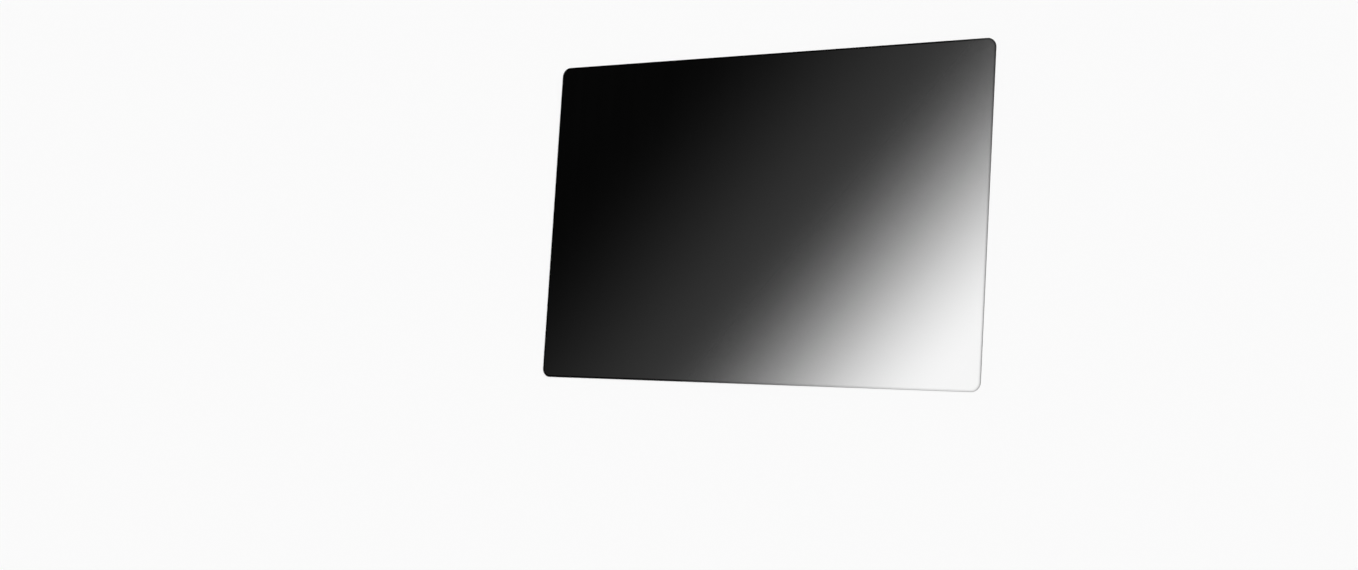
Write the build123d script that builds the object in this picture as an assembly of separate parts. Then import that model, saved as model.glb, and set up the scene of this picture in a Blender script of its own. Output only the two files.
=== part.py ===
from build123d import *
import os

# Privacy filter: one thin sheet of louvred film with rounded corners, in millimetres.
# It lies on its back with the viewing side up: +X to the viewer's right, +Y to the top edge.
# The origin is the middle of the back.

# Outline, a three to two sheet of the 13.5 inch size
sheet_width = 285.0
sheet_height = 190.0
corner_radius = 5.3

# Film gauge, and the soft edges that the cutting die leaves: it enters from the viewing side
film_thickness = 0.5
viewing_edge_radius = 0.15
back_edge_radius = 0.08


def filter_sheet():
    outline = RectangleRounded(sheet_width, sheet_height, corner_radius)
    sheet = extrude(outline, film_thickness)
    viewing_side = sheet.faces().sort_by(Axis.Z)[-1]
    sheet = fillet(viewing_side.edges(), viewing_edge_radius)
    back = sheet.faces().sort_by(Axis.Z)[0]
    return fillet(back.edges(), back_edge_radius)


os.makedirs("parts", exist_ok=True)
export_step(filter_sheet(), "parts/filter_sheet.step")
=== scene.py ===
from math import cos, pi, sin

import bmesh
import bpy
from mathutils import Matrix, Vector


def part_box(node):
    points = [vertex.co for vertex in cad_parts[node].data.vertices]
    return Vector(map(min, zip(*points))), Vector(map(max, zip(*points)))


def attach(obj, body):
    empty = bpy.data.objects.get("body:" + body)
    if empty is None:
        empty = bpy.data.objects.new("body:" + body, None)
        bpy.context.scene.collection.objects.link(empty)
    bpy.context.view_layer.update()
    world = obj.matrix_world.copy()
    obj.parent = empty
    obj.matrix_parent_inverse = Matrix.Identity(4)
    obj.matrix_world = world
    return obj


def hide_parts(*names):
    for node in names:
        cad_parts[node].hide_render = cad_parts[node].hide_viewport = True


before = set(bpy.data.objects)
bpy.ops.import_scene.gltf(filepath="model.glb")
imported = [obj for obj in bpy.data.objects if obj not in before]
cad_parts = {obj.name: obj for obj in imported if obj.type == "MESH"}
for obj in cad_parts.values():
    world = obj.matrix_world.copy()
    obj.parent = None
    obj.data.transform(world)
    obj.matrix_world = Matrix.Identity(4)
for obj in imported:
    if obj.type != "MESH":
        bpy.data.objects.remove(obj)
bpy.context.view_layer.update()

# The sheet's sizes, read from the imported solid. Everything here is in metres.
NEAR = 1e-6
Y_AXIS = 1
Z_AXIS = 2
low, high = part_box("filter_sheet")
solid_points = [vertex.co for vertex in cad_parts["filter_sheet"].data.vertices]


def reach_at(axis, level):
    """How far the solid reaches along +X where it lies at this level of another axis."""
    return max(point.x for point in solid_points if abs(point[axis] - level) < NEAR)


corner_radius = high.x - reach_at(Y_AXIS, high.y)
viewing_round = high.x - reach_at(Z_AXIS, high.z)
back_round = high.x - reach_at(Z_AXIS, low.z)
flat_half_x = high.x - corner_radius
flat_half_y = high.y - corner_radius

# Mesh: the steps in each corner and in each softened edge, and the pitch of the grid on each side
CORNER_STEPS = 16
ROUND_STEPS = 5
GRID_PITCH = 0.006
steps_x = round(2 * flat_half_x / GRID_PITCH)
steps_y = round(2 * flat_half_y / GRID_PITCH)

# The film turns from black at its upper left corner to clear at its lower right one
CLEAR_WAY = Vector((1.0, -0.9, 0.0)).normalized()
BLACK_CORNER = Vector((low.x, high.y, 0.0))
CLEAR_CORNER = Vector((high.x, low.y, 0.0))
# The shares of that way over which it clears, and what part of the light one crossing of it passes then
CLEAR_SPAN = (0.49, 0.95)
FILM_PASSES = 0.99
# The black gets smoky before it clears: a grey in its colour that is partly the film's own haze and
# partly painted sheen
SMOKE_AND_SHEEN_SPAN = (0.14, 1.0)
FILM_SMOKE_AND_SHEEN = 0.072
# How strongly the matte film reflects, and the trace of grey in its clear back
FILM_GLOSS = 0.15
BACK_GREY = 0.02

# The cut edge, and a margin along it, are darker and duller than the film beside them
MARGIN_WIDTH = 0.001
MARGIN_PASSES = 0.9
EDGE_PASSES = 0.5
# The margin's and cut edge's grey, partly haze and partly painted sheen, is fainter than the film's
EDGE_SMOKE_AND_SHEEN = 0.01
EDGE_GLOSS = 0.05

# Grain, per metre: the louvres' runs from top edge to bottom edge, and the anti-glare coat's is even
NOISE_RANGE = (0.25, 0.75)
LOUVRE_SCALE = (700.0, 6.0, 1.0)
LOUVRE_ROUGHNESS = (0.42, 0.48)
COAT_SCALE = (2500.0, 2500.0, 2500.0)
COAT_HEIGHT = 0.0000025

# Floor
FLOOR_GAP = 0.00005
FLOOR_HALF = 40.0
FLOOR_COLOUR = 0.96

# Studio: a broad key lamp in a dim room, with a horizon as pale as the floor
HORIZON_LIGHT = FLOOR_COLOUR
ROOM_LIGHT = 0.04
# The heights over which the one light passes into the other, from 0 at the horizon to 1 overhead
ROOM_RISE = (0.10, 0.14)
# Together with the room, the lamp shows a level surface in the colour that it is given
KEY_LIGHT = 0.947
KEY_WAY = Vector((0.68, 0.2, 0.7)).normalized()
KEY_ANGLE = 0.6

# Camera, from the sheet's four edges in the photograph, with its lens and sensor in millimetres
CAMERA_PLACE = Vector((0.53506, -0.1391, 0.91936))
CAMERA_AIM = Vector((-0.04896, -0.03885, 0.0))
CAMERA_UP = Vector((-0.0029, 0.9939, 0.1102))
CAMERA_LENS = 49.752
SENSOR_WIDTH = 36.0


def quarter_point(centre, radius, quarters, z):
    """A point on an arc about centre, this many quarter turns from +X."""
    angle = quarters * pi / 2
    return Vector((centre[0] + radius * cos(angle), centre[1] + radius * sin(angle), z))


def outline(inset, z):
    """The sheet's outline, drawn in by inset, as a counter-clockwise ring of points at height z."""
    radius = corner_radius - inset
    centres = ((flat_half_x, flat_half_y), (-flat_half_x, flat_half_y),
               (-flat_half_x, -flat_half_y), (flat_half_x, -flat_half_y))
    side_steps = (steps_x, steps_y, steps_x, steps_y)
    ring = []
    for corner, centre in enumerate(centres):
        for step in range(CORNER_STEPS + 1):
            ring.append(quarter_point(centre, radius, corner + step / CORNER_STEPS, z))
        side_start = ring[-1]
        side_end = quarter_point(centres[(corner + 1) % len(centres)], radius, corner + 1, z)
        for step in range(1, side_steps[corner]):
            ring.append(side_start.lerp(side_end, step / side_steps[corner]))
    return ring


def edge_profile():
    """From the viewing side round to the back: inset, height and the kind of face that follows."""
    profile = [(corner_radius, high.z, "viewing"), (MARGIN_WIDTH, high.z, "margin")]
    for step in range(ROUND_STEPS + 1):
        turn = step / ROUND_STEPS * pi / 2
        inset = viewing_round * (1 - sin(turn))
        profile.append((inset, high.z - viewing_round * (1 - cos(turn)), "edge"))
    for step in range(ROUND_STEPS):
        turn = step / ROUND_STEPS * pi / 2
        inset = back_round * (1 - cos(turn))
        profile.append((inset, low.z + back_round * (1 - sin(turn)), "edge"))
    profile.append((back_round, low.z, "back"))
    profile.append((corner_radius, low.z, "back"))
    return profile


def film_mesh(kinds):
    """The sheet as rings round its edge and a grid on each side. Each kind of face has its own slot."""
    bm = bmesh.new()

    def add_face(corners, kind):
        face = bm.faces.new(corners)
        face.material_index = kinds.index(kind)
        face.smooth = kind == "edge"

    def add_grid(z, kind, faces_up):
        rows = []
        for row in range(steps_y + 1):
            y = flat_half_y * (2 * row / steps_y - 1)
            rows.append([bm.verts.new((flat_half_x * (2 * column / steps_x - 1), y, z))
                         for column in range(steps_x + 1)])
        for near, far in zip(rows, rows[1:]):
            for column in range(steps_x):
                corners = (near[column], near[column + 1], far[column + 1], far[column])
                add_face(corners if faces_up else corners[::-1], kind)

    rings = []
    ring_kinds = []
    for inset, z, kind in edge_profile():
        rings.append([bm.verts.new(point) for point in outline(inset, z)])
        ring_kinds.append(kind)
    for inner, outer, kind in zip(rings, rings[1:], ring_kinds):
        for here in range(len(inner)):
            after = (here + 1) % len(inner)
            add_face((inner[here], outer[here], outer[after], inner[after]), kind)
    add_grid(high.z, "viewing", True)
    add_grid(low.z, "back", False)
    bmesh.ops.remove_doubles(bm, verts=bm.verts, dist=NEAR)
    mesh = bpy.data.meshes.new("privacy_film")
    bm.to_mesh(mesh)
    bm.free()
    return mesh


def grey(level):
    """An opaque grey, as a colour."""
    return (level, level, level, 1.0)


def new_material(name):
    """A material and its shader."""
    material = bpy.data.materials.new(name)
    material.use_nodes = True
    return material, material.node_tree.nodes["Principled BSDF"]


def film_place(tree):
    """The place on the film, in the film's own coordinates, as an output."""
    return tree.nodes.new("ShaderNodeTexCoord").outputs["Object"]


def along(tree, vector, way):
    """How far a vector goes along a way, as an output."""
    node = tree.nodes.new("ShaderNodeVectorMath")
    node.operation = "DOT_PRODUCT"
    node.inputs[1].default_value = way
    tree.links.new(vector, node.inputs[0])
    return node.outputs["Value"]


def map_range(tree, value, start, end, low_result=0.0, high_result=1.0, step="LINEAR"):
    """A Map Range node from start and end to two results, as its output."""
    node = tree.nodes.new("ShaderNodeMapRange")
    node.interpolation_type = step
    node.inputs["From Min"].default_value = start
    node.inputs["From Max"].default_value = end
    node.inputs["To Min"].default_value = low_result
    node.inputs["To Max"].default_value = high_result
    tree.links.new(value, node.inputs["Value"])
    return node.outputs["Result"]


def noise(tree, scale):
    """Noise from 0 to 1 over the film, with its own scale on each axis, as an output."""
    mapping = tree.nodes.new("ShaderNodeMapping")
    mapping.inputs["Scale"].default_value = scale
    tree.links.new(film_place(tree), mapping.inputs["Vector"])
    node = tree.nodes.new("ShaderNodeTexNoise")
    node.inputs["Scale"].default_value = 1.0
    tree.links.new(mapping.outputs["Vector"], node.inputs["Vector"])
    return node.outputs["Fac"]


def matte_film(name, gloss):
    """A material, and its shader, with the louvres' grain in its roughness and the coat's in its bump."""
    material, shader = new_material(name)
    tree = material.node_tree
    roughness = map_range(tree, noise(tree, LOUVRE_SCALE), *NOISE_RANGE, *LOUVRE_ROUGHNESS)
    tree.links.new(roughness, shader.inputs["Roughness"])
    shader.inputs["Specular IOR Level"].default_value = gloss
    bump = tree.nodes.new("ShaderNodeBump")
    bump.inputs["Distance"].default_value = COAT_HEIGHT
    tree.links.new(noise(tree, COAT_SCALE), bump.inputs["Height"])
    tree.links.new(bump.outputs["Normal"], shader.inputs["Normal"])
    return material, shader


def tinted_film(name, passes, smoke_and_sheen, gloss):
    """The tint, which is in the film's viewing side, its margin and its cut edge, with a grey in its
    colour that is partly the film's haze and partly painted sheen.
    """
    material, shader = matte_film(name, gloss)
    tree = material.node_tree
    way_ends = (CLEAR_WAY.dot(BLACK_CORNER), CLEAR_WAY.dot(CLEAR_CORNER))
    share = map_range(tree, along(tree, film_place(tree), CLEAR_WAY), *way_ends)
    # the grey that rises along the clear way is partly the film's haze and partly painted sheen
    colour = map_range(tree, share, *SMOKE_AND_SHEEN_SPAN, 0.0, smoke_and_sheen, step="SMOOTHERSTEP")
    tree.links.new(colour, shader.inputs["Base Color"])
    blocked = map_range(tree, share, *CLEAR_SPAN, 1.0, 1.0 - passes, step="SMOOTHSTEP")
    tree.links.new(blocked, shader.inputs["Alpha"])
    return material


def clear_back():
    """The clear skin on the back, which shows the tint in front of it."""
    material, shader = matte_film("film_back", FILM_GLOSS)
    shader.inputs["Base Color"].default_value = grey(BACK_GREY)
    shader.inputs["Alpha"].default_value = 1.0 - FILM_PASSES
    return material


def make_film():
    materials = {
        "viewing": tinted_film("film_viewing_side", FILM_PASSES, FILM_SMOKE_AND_SHEEN, FILM_GLOSS),
        "margin": tinted_film("film_margin", MARGIN_PASSES, EDGE_SMOKE_AND_SHEEN, EDGE_GLOSS),
        "edge": tinted_film("film_cut_edge", EDGE_PASSES, EDGE_SMOKE_AND_SHEEN, EDGE_GLOSS),
        "back": clear_back(),
    }
    mesh = film_mesh(list(materials))
    for material in materials.values():
        mesh.materials.append(material)
    film = bpy.data.objects.new("privacy_film", mesh)
    bpy.context.scene.collection.objects.link(film)
    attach(film, "root")
    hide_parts("filter_sheet")


def make_floor():
    z = low.z - FLOOR_GAP
    corners = [(-FLOOR_HALF, -FLOOR_HALF, z), (FLOOR_HALF, -FLOOR_HALF, z),
               (FLOOR_HALF, FLOOR_HALF, z), (-FLOOR_HALF, FLOOR_HALF, z)]
    mesh = bpy.data.meshes.new("floor")
    mesh.from_pydata(corners, [], [(0, 1, 2, 3)])
    material, shader = new_material("pale_floor")
    shader.inputs["Base Color"].default_value = grey(FLOOR_COLOUR)
    shader.inputs["Roughness"].default_value = 1.0
    shader.inputs["Specular IOR Level"].default_value = 0.0
    mesh.materials.append(material)
    floor = bpy.data.objects.new("floor", mesh)
    bpy.context.scene.collection.objects.link(floor)


def make_room():
    world = bpy.data.worlds.new("studio")
    bpy.context.scene.world = world
    world.use_nodes = True
    tree = world.node_tree
    way = tree.nodes.new("ShaderNodeTexCoord").outputs["Generated"]
    height = along(tree, way, (0.0, 0.0, 1.0))
    light = map_range(tree, height, *ROOM_RISE, HORIZON_LIGHT, ROOM_LIGHT, step="SMOOTHSTEP")
    background = tree.nodes["Background"]
    background.inputs["Color"].default_value = grey(1.0)
    tree.links.new(light, background.inputs["Strength"])


def make_key_lamp():
    lamp = bpy.data.lights.new("key", "SUN")
    # a lamp of strength pi straight overhead lights a white floor to 1
    lamp.energy = KEY_LIGHT * pi / KEY_WAY.z
    lamp.angle = KEY_ANGLE
    key = bpy.data.objects.new("key", lamp)
    key.rotation_mode = "QUATERNION"
    key.rotation_quaternion = KEY_WAY.to_track_quat("Z", "Y")
    bpy.context.scene.collection.objects.link(key)


def make_camera():
    camera = bpy.data.cameras.new("camera")
    camera.lens = CAMERA_LENS
    camera.sensor_width = SENSOR_WIDTH
    back = (CAMERA_PLACE - CAMERA_AIM).normalized()
    right = CAMERA_UP.cross(back).normalized()
    up = back.cross(right)
    turn = Matrix((right, up, back)).transposed().to_4x4()
    eye = bpy.data.objects.new("camera", camera)
    eye.matrix_world = Matrix.Translation(CAMERA_PLACE) @ turn
    bpy.context.scene.collection.objects.link(eye)
    bpy.context.scene.camera = eye


make_film()
make_floor()
make_room()
make_key_lamp()
make_camera()
bpy.context.scene.view_settings.view_transform = "Standard"
